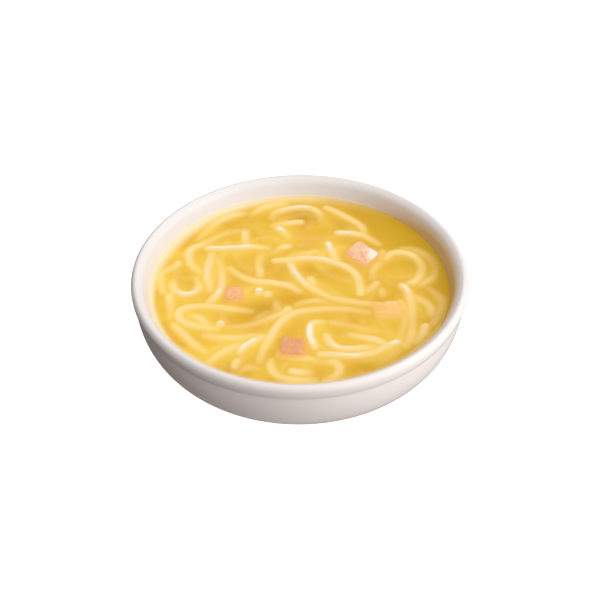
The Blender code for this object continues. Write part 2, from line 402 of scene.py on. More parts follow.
def make_bowl():
    bowl = turned("glazed_bowl", bowl_profile(), BOWL_TURN_STEPS)
    bowl.data.materials.append(glazed_stoneware())
    bowl.data.materials.append(bare_clay())
    for face in bowl.data.polygons:
        if face.center.z < 0.4 * MM:
            face.material_index = 1
    # Fired clay moves: the bowl is out of round by a tenth of a millimetre.
    for corner in bowl.data.vertices:
        angle = math.atan2(corner.co.y, corner.co.x)
        out = 1 + 0.0006 * math.sin(2 * angle + 0.4) - 0.0008
        corner.co.x *= out
        corner.co.y *= out
    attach(bowl, "root")
    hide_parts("bowl")


make_bowl()


# --------------------------------------------------------------- cloudy broth
# Chicken broth, cloudy with fat and starch. What lies in it takes on its colour with
# depth, so the noodles and the meat share this colour with the broth itself.

BROTH_LEVEL = BOWL_HEIGHT - BROTH_DROP
BROTH_EDGE = inner_wall(0, BROTH_LEVEL, 1)[-1][0]
FADE_DEPTH = 1.6 * MM  # the broth hides all but a third of what lies this deep
SHADED_BROTH_GAPS = [  # x, y and radius in mm, and how amber
    (1, 54, 13, 1.0),
    (24, 45, 14, 0.4),
    (-16, -15, 13, 0.6),
    (28, -53, 14, 0.1),
    (-30, -54, 12, 0.55),
    (8, -56, 8, 0.3),
]


def cloudy_broth_tree():
    """The colour of the cloudy broth by its place in the bowl, as a node group."""
    tree = bpy.data.node_groups.new("cloudy broth colour", "ShaderNodeTree")
    tree.interface.new_socket("Colour", in_out="OUTPUT", socket_type="NodeSocketColor")
    place = add(tree, "TexCoord").outputs["Object"]
    # Thicker and thinner clouds, 22 mm across, and fat in wisps of 6 mm.
    clouds = add(tree, "TexNoise", {"Vector": place, "Scale": 1 / (22 * MM), "Detail": 2.0})
    wisps = add(tree, "TexNoise", {"Vector": place, "Scale": 1 / (6 * MM), "Detail": 3.0})
    thick = add(tree, "MapRange", {0: clouds.outputs["Fac"], 1: 0.35, 2: 0.68})
    deep = add(tree, "Mix", {0: thick.outputs[0], 6: srgb("DFAF37"), 7: srgb("EFCC52")})
    fat_and_highlight = add(tree, "MapRange", {0: wisps.outputs["Fac"], 1: 0.5, 2: 0.8, 4: 0.35})
    mixed = add(tree, "Mix", {0: fat_and_highlight.outputs[0], 6: deep.outputs[2], 7: srgb("F2D56A")})
    # Painted shade: here and there between the noodles the broth is painted darker, down to amber,
    # where it looks deeper.
    split = add(tree, "SeparateXYZ", {0: place})
    flat = add(tree, "CombineXYZ", {0: split.outputs[0], 1: split.outputs[1]})
    gap_shade = 0.0
    for x, y, radius, share in SHADED_BROTH_GAPS:
        apart = add(tree, "VectorMath", {0: flat.outputs[0], 1: (x * MM, y * MM, 0)},
                    operation="DISTANCE")
        gap = add(tree, "MapRange", {0: apart.outputs["Value"], 1: radius * MM, 2: 0.0,
                                     3: 0.0, 4: share}, interpolation_type="SMOOTHSTEP")
        gap_shade = add(tree, "Math", {0: gap.outputs[0], 1: gap_shade},
                      operation="MAXIMUM").outputs[0]
    mixed = add(tree, "Mix", {0: gap_shade, 6: mixed.outputs[2], 7: srgb("C48F2A")})
    # Towards the right the rim's shadow leaves the broth a darker, greener gold.
    shade = add(tree, "VectorMath", {0: place, 1: (0.82, 0.57, 0)}, operation="DOT_PRODUCT")
    dim = add(tree, "MapRange", {0: shade.outputs["Value"], 1: 38 * MM, 2: 62 * MM},
              interpolation_type="SMOOTHSTEP")
    gold = add(tree, "Mix", {0: dim.outputs[0], 6: mixed.outputs[2], 7: srgb("D0A92C")})
    # Painted light at the edge: in the last few mm the white wall shows through the thinning broth,
    # and is painted bright on the lit left, less so in front, and not at all in the rim's shadow on
    # the right.
    radius = add(tree, "VectorMath", {0: flat.outputs[0]}, operation="LENGTH")
    start = add(tree, "MapRange", {0: split.outputs[1], 1: -15 * MM, 2: 30 * MM,
                                   3: BROTH_EDGE - 3 * MM, 4: BROTH_EDGE - 5.5 * MM})
    thin = add(tree, "MapRange", {0: radius.outputs["Value"], 1: start.outputs[0],
                                  2: BROTH_EDGE + 0.2 * MM}, interpolation_type="SMOOTHSTEP")
    sunny = add(tree, "MapRange", {0: split.outputs[0], 1: -30 * MM, 2: 45 * MM, 3: 1.0, 4: 0.0})
    painted_edge_light = add(tree, "Math", {0: thin.outputs[0], 1: sunny.outputs[0]}, operation="MULTIPLY")
    # Painted light: a pale band along the front, against the rim's shade on the broth there.
    front = add(tree, "VectorMath", {0: flat.outputs[0], 1: (0, 8.75 * MM, 0)},
                operation="DISTANCE")
    near = add(tree, "MapRange", {0: front.outputs["Value"], 1: 69 * MM, 2: 71.5 * MM,
                                  4: 0.5}, interpolation_type="SMOOTHSTEP")
    painted_edge_light = add(tree, "Math", {0: painted_edge_light.outputs[0], 1: near.outputs[0]}, operation="MAXIMUM")
    edge = add(tree, "Mix", {0: painted_edge_light.outputs[0], 6: gold.outputs[2], 7: srgb("FCF1CE")})
    out = tree.nodes.new("NodeGroupOutput")
    tree.links.new(edge.outputs[2], out.inputs[0])
    return tree


cloudy_broth = cloudy_broth_tree()


def fade_into_broth(tree, colour, place):
    """Mixes a colour into the cloudy broth's with depth. place is the Object coordinate."""
    height = add(tree, "SeparateXYZ", {0: place}).outputs[2]
    depth = add(tree, "Math", {0: height, 1: -1 / FADE_DEPTH, 2: BROTH_LEVEL / FADE_DEPTH},
                operation="MULTIPLY_ADD")
    under = add(tree, "Math", {0: depth.outputs[0], 1: 0.0}, operation="MAXIMUM")
    back = add(tree, "Math", {0: under.outputs[0], 1: -1.0}, operation="MULTIPLY")
    seen = add(tree, "Math", {0: back.outputs[0]}, operation="EXPONENT")
    cloud = add(tree, "Group", node_tree=cloudy_broth)
    mixed = add(tree, "Mix", {0: seen.outputs[0], 6: cloud.outputs[0], 7: colour})
    # Only what stands out of the broth shows a wet shine.
    wet = add(tree, "MapRange", {0: under.outputs[0], 1: 0.0, 2: 0.15, 3: 0.3, 4: 1.0})
    return mixed.outputs[2], wet.outputs[0]


# -------------------------------------------------------------------- noodles
# Thin egg noodles, 3.2 mm thick once cooked, broken into short lengths. They lie in
# loose loops at and just under the surface. Each row is one noodle: points (x, y,
# depth of its middle under the broth), in mm.

NOODLE_THICKNESS = 3.2 * MM
NOODLE_SIDES = 16
NOODLE_STEP = 0.7 * MM
DRIFT = 1.19  # a noodle lies further back by this much for each mm of its depth
LEVEL_SCALE = 0.987  # brings the rows' Y from the rim's level down to the broth's
NOODLE_FLATNESS = 0.94  # its height over its width
CUT_ROUNDING = 0.75 * MM  # how far from a cut end it starts to narrow
SUNK_REACH = 58 * MM  # the sunk ones keep within this radius

NOODLES = [
    # Ends and stretches that stand out of the broth.
    [(-18.4, -3, -0.3), (-18.3, -3.1, 1.1), (-17.9, -3.3, 4.2)],
    [(-14.5, -5.6, 0.5), (-14.4, -5.7, 1.5), (-14.2, -5.9, 3.8)],
    [(-34.8, -25.3, 0.2), (-34.6, -25.6, 1.5), (-34, -26.4, 4.2)],
    [(-10, 42.5, 0.5), (-8.5, 41, 0.9), (-6.5, 38, 2.4), (-5, 35, 3.6)],
    [(13.3, 31, 0.6), (13.8, 28, 0.9), (14.7, 24.5, 1.3), (15.8, 21, 1.7), (16.8, 18, 2.6)],
    [(9.5, -25.2, 2.6), (6.8, -25.6, 1.8), (4.6, -27.5, 1.1), (4.1, -31, 0.7), (4.3, -35, 0.7),
     (5.3, -39, 0.9), (6.3, -42, 1.5)],
    [(-13.5, -3.6, 1.2), (-11.5, -4.5, 0.9), (-10.6, -7, 0.9), (-10.3, -10, 1.2), (-10.2, -13, 2),
     (-10, -16.5, 3)],
    [(45.8, -0.8, 1.1), (47.2, -2.5, 1.05), (48.2, -5.5, 1.3), (48.9, -10, 1.8), (49.3, -15, 2.1),
     (49.3, -20, 2.2), (49, -25, 2.6), (48.6, -30, 2.7), (48.2, -34, 2.2), (47, -38, 2.3),
     (45, -42, 2.8)],
    [(8.5, -46.5, 1.9), (13, -46.8, 1.4), (18, -47.2, 1.1), (24, -47.4, 1.1), (29, -46.6, 1.7),
     (33.5, -44.5, 1.8), (37.5, -41.5, 1.4), (40.8, -39.2, 0.8), (42, -38.3, 0.6)],
    [(22, -34, 2.6), (26, -35.5, 2), (30, -36.8, 1.5), (34, -37.8, 1), (37, -38.4, 0.9)],
    [(-25.8, -44.5, 1.3), (-24.5, -41.5, 1), (-22, -38.8, 0.9), (-19, -36.5, 1.2), (-16, -34.8, 2)],
    [(18, 38.5, 1), (22, 38.2, 1), (26, 37.5, 1.3), (30, 35.8, 1.9), (33.5, 33, 2.4),
     (37, 29.5, 2.8)],
    [(-42.3, 27.5, 1.2), (-36, 27.6, 1), (-30, 28, 0.95), (-24, 28.3, 1.05), (-19, 28.2, 1.9),
     (-14, 27.6, 3)],
    [(-5.3, 28.5, 1.2), (-9, 28.2, 1.3), (-13, 27.2, 1.7), (-16.5, 25, 2.2), (-18, 21.5, 2.5),
     (-18.7, 17, 2.6), (-18.5, 13, 2.2), (-18, 10, 1.8), (-17.7, 7, 2.4)],
    # The right-hand loop and the long arcs in the middle.
    [(40, 19, 2.4), (41.5, 21.5, 1.9), (44.5, 23, 1.6), (48, 22.8, 1.6), (51.5, 21, 1.6),
     (54.3, 17.5, 2.2), (55.6, 13, 2.5), (55, 8.5, 2.4), (53.5, 4.5, 2), (51.8, 1.5, 1.6),
     (49.5, 1, 2.2)],
    [(-11, 17.8, 1.7), (-6, 18.2, 1.6), (0, 19.2, 1.6), (5, 19.4, 1.25), (9, 19, 1.1),
     (13, 17.6, 1.1), (17, 15.5, 1.2), (21, 12.8, 1.4), (24, 9.5, 1.6), (26, 5.5, 1.6),
     (26.8, 1, 2), (27.1, -3.5, 1.6), (27, -7, 1.8)],
    [(-4.2, 15, 1.4), (-3.2, 11.5, 1.2), (-1.8, 8, 1.1), (0, 4.5, 1.2), (2, 1.5, 1.3),
     (4.5, -1.5, 1.5), (7.5, -4, 1.8), (11, -6.6, 2.3), (15, -9.3, 2.2), (19, -10.6, 2.1),
     (23, -11.6, 2.2), (27, -12.6, 2.3), (31, -13.4, 2.5), (35, -14.2, 3.1)],
    [(4.8, 4.5, 1.8), (5.8, 1.5, 1.7), (7.2, -1.5, 2), (10, -3.5, 3)],
    [(-31.5, 12.5, 2.8), (-29, 9.5, 2.4), (-26, 6.5, 2.1), (-22, 4, 1.9), (-18, 2.7, 1.7),
     (-14, 2.2, 1.6), (-10, 1.2, 1.4), (-6, 0, 1.5), (-3, -1.8, 2), (0, -4.2, 2.8)],
    # Loops on the left.
    [(-37.5, 20, 3.6), (-36, 15, 3), (-35.4, 10, 2.3), (-35, 5, 1.8), (-35.1, 0, 1.7),
     (-36, -4, 1.1), (-38, -8, 1.4), (-40.5, -11, 2.2)],
    [(-57, 4, 3), (-57, 0, 1.9), (-55.8, -3, 1.6), (-53, -5, 1.2), (-50, -5.4, 1), (-47, -4.2, 1.3),
     (-45.3, -1.5, 1.7), (-45.8, 2, 2.4), (-46.5, 6, 3.4)],
    [(-40.5, 23, 2.4), (-41, 19, 1.9), (-41.8, 14, 1.4), (-42.1, 9, 1.3), (-41.8, 5, 1.6),
     (-41, 1, 2), (-40.3, -3, 2.8)],
    [(-22, -17.5, 3), (-27, -16.5, 2.3), (-32, -15.6, 2), (-37, -14.6, 1.9), (-42, -14, 1.8),
     (-47, -14.2, 1.8), (-51, -15.4, 1.7), (-53.4, -18.3, 1.6), (-53, -21.8, 1.7),
     (-50.5, -24.8, 1.8), (-46, -27, 1.8), (-41, -28.6, 1.9), (-36, -29.2, 2.8)],
    [(-48.8, -15.5, 1.2), (-47.2, -18, 1.4), (-45, -21, 1.5), (-42.5, -24, 1.9), (-40, -27, 2.8)],
    [(-25, 41.5, 3.6), (-30, 41, 3.2), (-36, 38, 2.8), (-41, 34, 2.6), (-45.5, 30.2, 1.9),
     (-49, 28, 1.6), (-51, 24.5, 1.4), (-50.8, 20, 1.5), (-49.5, 15.5, 1.9), (-47, 12, 2.4),
     (-44.5, 9.5, 3)],
    [(-55.5, 16.5, 1.8), (-57.5, 13.5, 2.3), (-60.5, 12, 2.5), (-62.5, 9, 2.4), (-62.8, 5, 2.3),
     (-62.3, 0, 2.5), (-61, -4, 3)],
    [(-58.3, -6.5, 1.8), (-58, -9, 1.8), (-57.5, -13, 2.4), (-57, -17, 2.8), (-56.5, -21, 3.4)],
    [(-25.5, 39, 1.3), (-25.3, 35.5, 1.7), (-25, 32, 2.2), (-24.8, 29, 3)],
    # Along the back.
    [(-47, 35, 3.6), (-44, 40, 3), (-41.5, 44, 2.5), (-38, 48, 1.9), (-33, 51.5, 1.6),
     (-29, 53.5, 1.9), (-26, 54.5, 3)],
    [(-24.5, 54, 2.4), (-21, 56.5, 1.8), (-16, 59, 1.7), (-11, 61, 2.1), (-6, 62, 2.8)],
    [(-13, 51, 3.4), (-11.5, 54.5, 2.4), (-8, 56.5, 1.5), (-3, 58.2, 1.1), (2, 58.7, 1),
     (6, 57.4, 1.4), (9, 54.8, 2), (10, 51.8, 2.8), (10, 49, 3.8)],
    [(-12, 44.5, 3), (-8, 45.7, 2.2), (-4, 46.3, 1.7), (0.5, 47, 1.4)],
    [(13.2, 58.2, 2), (16, 56, 1.9), (20, 52.7, 1.9), (24, 49, 1.8), (27.5, 45.5, 1.9),
     (29.7, 42, 2.1), (30.5, 38, 2.8)],
    [(48, 26.5, 3.8), (52, 26, 3.3), (56, 23.5, 3.1), (59.3, 19.5, 3.2), (61.3, 14.5, 3.7),
     (61.5, 9.5, 3.7), (60, 5, 3), (57, 2, 2.6), (54, -0.5, 2.9)],
    [(38.3, 25, 1.6), (38, 21, 1.8), (36.8, 17, 2.1), (34.8, 13, 2.4), (33.3, 9, 2.7),
     (32.8, 4.5, 3.4)],
    [(7, 24.5, 2.2), (4, 23.5, 2.5), (0, 22.5, 2.8), (-4, 21.8, 3.4)],
    # Along the front.
    [(-17.5, -50, 3), (-16.2, -45, 2.3), (-14.8, -40, 1.9), (-13, -35, 1.6), (-11, -30, 1.5),
     (-8.5, -25.5, 1.6), (-5, -21, 1.6), (-1, -18.6, 1.8), (4, -17.4, 2), (9, -16.7, 2.2),
     (14, -16.4, 2.3), (20, -16.8, 2.5), (25, -17.8, 2.7), (30, -19, 3.3)],
    [(-5.2, -16.5, 1.7), (-7, -19, 2), (-11, -21, 2.3), (-15, -23.5, 2.6), (-20, -26, 2.9),
     (-26, -27.5, 3), (-31, -27.5, 3.5)],
    [(-41, -33.5, 2.6), (-37, -34.5, 2.2), (-33, -35.2, 2), (-29, -35.4, 2.1), (-25, -34.9, 2.4),
     (-21, -34, 2.6), (-17, -34, 3.2)],
    [(-55, -26.5, 2.4), (-53, -29.5, 2), (-50, -33.5, 1.9), (-47, -37.5, 2), (-44, -41, 2.2),
     (-40.5, -43.8, 3)],
    [(-38.5, -50.5, 2.6), (-36, -47.5, 2), (-33, -44.4, 1.8), (-30, -42, 2), (-27, -40.2, 2.3),
     (-24, -38.8, 2.8)],
    [(-25, -46, 2.8), (-26.5, -49, 2), (-27.5, -52, 1.8), (-28, -54.5, 2.2)],
    [(-29, -56, 2), (-25.5, -54.2, 1.9), (-21, -52.5, 2.1), (-17, -51, 3)],
    [(-12.5, -50, 3), (-12.6, -54, 2), (-11, -58, 2.1), (-7.5, -61, 2), (-3, -62.2, 1.9),
     (2, -62.6, 2.2), (6, -62, 3)],
    [(-9, -46.5, 2.8), (-4, -48, 2.3), (1, -48.8, 2.1), (6, -48.8, 2.1), (10.5, -49.3, 2.2),
     (14, -51.3, 1.8), (16.3, -54.5, 1.8), (16, -58, 2), (13.5, -61, 2.4), (10, -62.8, 3)],
    [(-3.5, -57, 1.6), (-1.5, -57.7, 1.3), (1, -57.8, 1.8), (4, -57.8, 3.2)],
    [(11.5, -34.5, 1.9), (12.3, -38, 1.4), (14.3, -41, 1.2), (18, -42.9, 1.2), (22.5, -43.1, 1.3),
     (27, -42.7, 1.8), (31.5, -42, 3)],
    [(50, -8, 3.4), (53, -10, 2.6), (56, -13, 2.3), (57.6, -17, 2.4), (58, -21, 3)],
    [(58, -3, 3.8), (61, -7, 3.2), (63, -12, 3), (62.5, -17, 2.9), (60.5, -22, 2.7),
     (58.3, -27, 2.6)],
    [(54.5, -29, 1.6), (53.8, -31.5, 1.6), (52.5, -35, 2), (50, -39.5, 2.8)],
    [(30, -4.5, 3), (32.5, -2, 2.4), (34.5, 1, 2.1)],
    [(36, -1.5, 3), (36.8, -4.5, 2.6), (37, -7.5, 3.2)],
    [(-1, -12.8, 3.2), (4, -11.3, 2.6), (9, -10.3, 2.4), (13.5, -10.2, 2.9)],
    [(14, -25.6, 2.8), (20, -27, 3.2), (27, -29.5, 3.4), (34, -31.5, 3.8)],
]
SUNK_NOODLES = 34


def spline(points, step):
    """Evenly spaced points along a smooth curve through the given ones."""
    line = [points[0] + (points[0] - points[1]) * 0.5, *points,
            points[-1] + (points[-1] - points[-2]) * 0.5]
    dense = []
    for i in range(1, len(line) - 2):
        a, b, c, d = line[i - 1], line[i], line[i + 1], line[i + 2]
        for part in range(12):
            t = part / 12
            dense.append(0.5 * (2 * b + (c - a) * t + (2 * a - 5 * b + 4 * c - d) * t * t
                                + (3 * b - a - 3 * c + d) * t ** 3))
    dense.append(points[-1].copy())
    even = [dense[0]]
    carried = 0.0
    for p, q in zip(dense, dense[1:]):
        length = (q - p).length
        while carried + length >= step:
            p = p.lerp(q, (step - carried) / length)
            length = (q - p).length
            carried = 0.0
            even.append(p.copy())
        carried += length
    return even


def named_path(row):
    points = []
    for x, y, depth in row:
        points.append(Vector((x, LEVEL_SCALE * y + DRIFT * depth, 0)) * MM
                      + Vector((0, 0, BROTH_LEVEL - depth * MM)))
    return spline(points, NOODLE_STEP)


def wandering_path():
    """A sunk noodle: a loose curve that keeps off the wall, about 5 mm down."""
    angle = random.uniform(0, 2 * math.pi)
    radius = 56 * MM * math.sqrt(random.random())
    place = Vector((radius * math.cos(angle), radius * math.sin(angle), 0))
    heading = random.uniform(0, 2 * math.pi)
    bend = random.uniform(-0.09, 0.09)
    depth = random.uniform(4.2, 5.4) * MM
    points = []
    for _ in range(random.randint(5, 10)):
        if place.length > SUNK_REACH:
            place *= SUNK_REACH / place.length
            heading += 0.8
        points.append(Vector((place.x, place.y, BROTH_LEVEL - depth)))
        heading += bend * 6 + random.uniform(-0.3, 0.3)
        place += 6 * MM * Vector((math.cos(heading), math.sin(heading), 0))
        depth += random.uniform(-0.4, 0.4) * MM
    return spline(points, NOODLE_STEP)


def plan_tree(points):
    """A search tree over the plan positions of points (x, y, anything)."""
    tree = kdtree.KDTree(len(points))
    for number, point in enumerate(points):
        tree.insert((point[0], point[1], 0), number)
    tree.balance()
    return tree


def lay_under(path, laid):
    """Lowers a path where it would pass through the noodles that are already laid."""
    if not laid:
        return path
    tree = plan_tree(laid)
    reach = NOODLE_THICKNESS * 0.94
    push = [0.0] * len(path)
    for i, point in enumerate(path):
        for place, number, distance in tree.find_range((point.x, point.y, 0), reach):
            other = laid[number]
            apart = math.sqrt(reach * reach - distance * distance)
            if abs(point.z - other.z) < apart:
                push[i] = max(push[i], point.z - (other.z - apart))
    # The noodle is stiff, so a push is felt for some way along it.
    eased = []
    for i in range(len(path)):
        near = range(max(0, i - 14), min(len(path), i + 15))
        eased.append(max(push[j] - abs(i - j) * 0.45 * NOODLE_STEP for j in near))
    for _ in range(6):
        eased = [(eased[max(0, i - 1)] + 2 * eased[i] + eased[min(len(eased) - 1, i + 1)]) / 4
                 for i in range(len(eased))]
    return [point - Vector((0, 0, max(0, down))) for point, down in zip(path, eased)]


def all_paths():
    laid = []
    paths = []
    for row in NOODLES:
        paths.append(lay_under(named_path(row), laid))
        laid += paths[-1]
    for _ in range(SUNK_NOODLES):
        paths.append(lay_under(wandering_path(), laid))
        laid += paths[-1]
    return paths


def strand(shape, path, number):
    """A noodle along a path: a slightly oval, uneven rod with cut ends."""
    count = len(path)
    side = None
    rings = []
    for i, point in enumerate(path):
        ahead = (path[min(i + 1, count - 1)] - path[max(i - 1, 0)]).normalized()
        if side is None:
            side = ahead.cross(Vector((0, 0, 1)))
            if side.length < 0.2:
                side = ahead.cross(Vector((0, 1, 0)))
        side = (side - ahead * side.dot(ahead)).normalized()
        up = side.cross(ahead)
        swell = 1 + 0.07 * noise.noise(point / (7 * MM) + Vector((number, 0, 0)))
        half = NOODLE_THICKNESS / 2 * swell
        from_end = min(i, count - 1 - i) * NOODLE_STEP
        if from_end < CUT_ROUNDING:
            half *= 0.72 + 0.28 * math.sqrt(1 - (1 - from_end / CUT_ROUNDING) ** 2)
        ring = []
        for k in range(NOODLE_SIDES):
            turn = 2 * math.pi * k / NOODLE_SIDES
            # Dried noodles keep faint flats from the die that they were pressed through.
            reach = half * (1 + 0.02 * math.cos(4 * turn + number))
            ring.append(shape.verts.new(point + side * reach * math.cos(turn)
                                        + up * reach * NOODLE_FLATNESS * math.sin(turn)))
        rings.append(ring)
    for near, far in zip(rings, rings[1:]):
        for k in range(NOODLE_SIDES):
            after = (k + 1) % NOODLE_SIDES
            shape.faces.new((near[k], far[k], far[after], near[after]))
    for ring, is_start in ((rings[0], True), (rings[-1], False)):
        middle = sum((corner.co for corner in ring), Vector()) / NOODLE_SIDES
        hub = shape.verts.new(middle)
        for k in range(NOODLE_SIDES):
            after = (k + 1) % NOODLE_SIDES
            pair = (ring[k], ring[after]) if is_start else (ring[after], ring[k])
            shape.faces.new((*pair, hub))


def flatten_shading(mesh, share):
    """Turns all normals but the lowest towards +Z, for in haze light comes from all round."""
    soft = []
    for corner in mesh.vertices:
        up = share if corner.normal.z > -0.3 else 0.0
        soft.append(corner.normal.lerp(Vector((0, 0, 1)), up).normalized())
    mesh.normals_split_custom_set_from_vertices(soft)


def egg_noodle():
    """Cooked egg dough: pale, slightly see-through and wet, so soft-edged and cream."""
    dough, tree, shader = new_material("cooked egg noodle")
    place = add(tree, "TexCoord").outputs["Object"]
    # Paler and yellower stretches, 9 mm long.
    stretches = add(tree, "TexNoise", {"Vector": place, "Scale": 1 / (9 * MM), "Detail": 2.0})
    tone = add(tree, "Mix", {0: stretches.outputs["Fac"], 6: srgb("FFE8BA"),
                             7: srgb("FFE0A2")})
    # What stands clear of the broth is painted nearly white: it has drained, and this is also a
    # painted highlight.
    height = add(tree, "SeparateXYZ", {0: place}).outputs[2]
    drained_and_highlight = add(tree, "MapRange", {0: height, 1: BROTH_LEVEL + 0.1 * MM,
                                     2: BROTH_LEVEL + 0.9 * MM, 4: 0.8})
    tone = add(tree, "Mix", {0: drained_and_highlight.outputs[0], 6: tone.outputs[2], 7: srgb("FFF6E2")})
    colour, rough = fade_into_broth(tree, tone.outputs[2], place)
    plug(shader, {"Base Color": colour, "Roughness": rough, "IOR": 1.4,
                  "Subsurface Weight": 0.5, "Subsurface Radius": (1.0, 0.8, 0.5),
                  "Subsurface Scale": 0.6 * MM})
    return dough


def soften(mesh):
    """Light in cloudy broth comes from all round, so what is in it is shaded flatly."""
    mesh.shade_smooth()
    soft = []
    for corner in mesh.vertices:
        depth = max(0, BROTH_LEVEL - corner.co.z)
        flat = 0.86 + 0.09 * min(1, depth / (0.4 * MM))
        soft.append(corner.normal.lerp(Vector((0, 0, 1)), flat).normalized())
    mesh.normals_split_custom_set_from_vertices(soft)


def make_noodles(paths):
    shape = bmesh.new()
    for number, path in enumerate(paths):
        strand(shape, path, number)
    mesh = bpy.data.meshes.new("noodle_strands")
    shape.to_mesh(mesh)
    shape.free()
    soften(mesh)
    mesh.materials.append(egg_noodle())
    noodles = put("noodle_strands", mesh)
    # The broth between them is full of light, so they throw no shadows on one another.
    noodles.visible_shadow = False
    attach(noodles, "root")
    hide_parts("noodles")


noodle_paths = all_paths()
make_noodles(noodle_paths)


# -------------------------------------------------------------------- chicken
# Diced chicken breast, cut by hand and boiled: four pieces break the surface, and
# one lies sunk at the back. The fibres part at the cut faces.

CHICKEN_VOXEL = 0.35 * MM
MEAT_CUTS = {  # how many times as long along Y as its plain shape, how far moved, how far sunk
    1: (1.2, 0.0, 0.0),
    2: (1.25, 0.4 * MM, 0.0),
    3: (1.25, 0.6 * MM, 0.1 * MM),
    4: (1.0, 0.0, 0.35 * MM),
    5: (1.0, 0.0, 0.0),
}
MEAT_TONES = {  # pink and pale flesh of each piece, its flecks of fat, and how brown it is
    1: ("F0B08A", "F6CCA2", "FFF0DA", 0.4),
    2: ("F2B07E", "F8C088", "FACF9A", 0.6),
    3: ("E2A074", "E9AD79", "F0BA86", 1.0),
    4: ("FDCC84", "FED28A", "FFD894", 0.0),
    5: ("E4A276", "ECB080", "F2C08C", 0.8),
}
HIGHLIGHT_EDGE = 32.5 * MM  # beyond this x the first piece is painted near white, a painted highlight


def meat_body(name, source):
    """A plain solid as a fine closed mesh with worn corners."""
    body = put(name, source.copy())
    remesh = body.modifiers.new("fine skin", "REMESH")
    remesh.mode = "VOXEL"
    remesh.voxel_size = CHICKEN_VOXEL
    worn = body.modifiers.new("worn corners", "SMOOTH")
    worn.factor = 0.5
    worn.iterations = 27
    graph = bpy.context.evaluated_depsgraph_get()
    mesh = bpy.data.meshes.new_from_object(body.evaluated_get(graph))
    body.modifiers.clear()
    body.data = mesh
    return body


def tear_fibres(mesh, number):
    """Brings a piece to its size and place, and roughens it with fibres and lumps."""
    longer, moved_by, sunk_by = MEAT_CUTS[number]
    # Wet and heavy, the piece rides a little lower than its plain shape.
    for corner in mesh.vertices:
        corner.co.z -= 0.35 * max(0, corner.co.z - BROTH_LEVEL) + sunk_by
    middle = sum((corner.co for corner in mesh.vertices), Vector()) / len(mesh.vertices)
    for corner in mesh.vertices:
        corner.co.y = middle.y + longer * (corner.co.y - middle.y) + moved_by
    along = Vector((math.cos(number * 1.9 + 0.6), math.sin(number * 1.9 + 0.6), 0.25)).normalized()
    moved = []
    for corner in mesh.vertices:
        place = corner.co - middle
        # Bundles of fibre 1.1 mm wide and 6 mm long, and lumps of 4 mm.
        across = place - along * place.dot(along)
        bundle = across / (1.1 * MM) + along * place.dot(along) / (6 * MM)
        ridge = noise.noise(bundle + Vector((number * 7.3, 0, 0)))
        lump = noise.noise(place / (4 * MM) + Vector((0, number * 5.1, 0)))
        moved.append(corner.co + corner.normal * (0.16 * MM * ridge + 0.4 * MM * lump))
    for corner, place in zip(mesh.vertices, moved):
        corner.co = place
    mesh.shade_smooth()
    mesh.update()
    flatten_shading(mesh, 0.85)


def cooked_chicken(number):
    """Boiled breast: matt white to pink with a fibrous grain, stained by the broth."""
    meat, tree, shader = new_material(f"boiled chicken breast {number}")
    dark, pale, fleck, _ = MEAT_TONES[number]
    place = add(tree, "TexCoord").outputs["Object"]
    # Pink and pale patches of 4 mm, and fibres 0.5 mm wide.
    patches = add(tree, "TexNoise", {"Vector": place, "Scale": 1 / (4 * MM), "Detail": 3.0})
    grain = add(tree, "Mapping", {"Vector": place, "Rotation": (0.3, 0.2, 0.7),
                                  "Scale": (1 / (0.5 * MM), 1 / (4 * MM), 1 / (0.6 * MM))})
    fibres = add(tree, "TexNoise", {"Vector": grain.outputs[0], "Scale": 1.0, "Detail": 2.0})
    pink = add(tree, "MapRange", {0: patches.outputs["Fac"], 1: 0.38, 2: 0.62})
    body = add(tree, "Mix", {0: pink.outputs[0], 6: srgb(dark), 7: srgb(pale)})
    light = add(tree, "MapRange", {0: fibres.outputs["Fac"], 1: 0.5, 2: 0.75, 4: 0.6})
    tone = add(tree, "Mix", {0: light.outputs[0], 6: body.outputs[2], 7: srgb(fleck)})
    # Painted highlight: the first piece is painted near white along its right side, to a wavy edge.
    if number == 1:
        side = add(tree, "SeparateXYZ", {0: place}).outputs[0]
        wavy = add(tree, "Math", {0: fibres.outputs["Fac"], 1: 6 * MM, 2: side},
                   operation="MULTIPLY_ADD")
        fat_and_highlight = add(tree, "MapRange", {0: wavy.outputs[0], 1: HIGHLIGHT_EDGE, 2: HIGHLIGHT_EDGE + 4 * MM,
                                     4: 0.85}, interpolation_type="SMOOTHSTEP")
        tone = add(tree, "Mix", {0: fat_and_highlight.outputs[0], 6: tone.outputs[2], 7: srgb("FFF8E8")})
    colour, rough = fade_into_broth(tree, tone.outputs[2], place)
    bump = add(tree, "Bump", {"Height": fibres.outputs["Fac"], "Strength": 0.2,
                              "Distance": 0.2 * MM})
    plug(shader, {"Base Color": colour, "Roughness": rough, "Normal": bump.outputs["Normal"],
                  "Subsurface Weight": 0.6, "Subsurface Radius": (1.0, 0.7, 0.5),
                  "Subsurface Scale": 0.9 * MM, "IOR": 1.4})
    return meat


def finish_dice(piece, number):
    tear_fibres(piece.data, number)
    piece.data.materials.clear()
    piece.data.materials.append(cooked_chicken(number))
    # Like the noodles, the meat lies in broth that is full of light.
    piece.visible_shadow = False
    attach(piece, "root")


def make_sunk_dice():
    """A fifth dice, like the third but turned and sunk, whose top lies 2 mm down."""
    piece = meat_body("chicken_dice_5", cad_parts["chicken_3"].data)
    low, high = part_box("chicken_3")
    middle = (Vector(low) + Vector(high)) / 2
    top = high[2] - middle.z
    place = Vector((4 * MM, 39 * MM, BROTH_LEVEL - 2 * MM - top))
    piece.data.transform(Matrix.Translation(place) @ Matrix.Rotation(0.5, 4, "Z")
                         @ Matrix.Translation(-middle))
    finish_dice(piece, 5)
    return piece


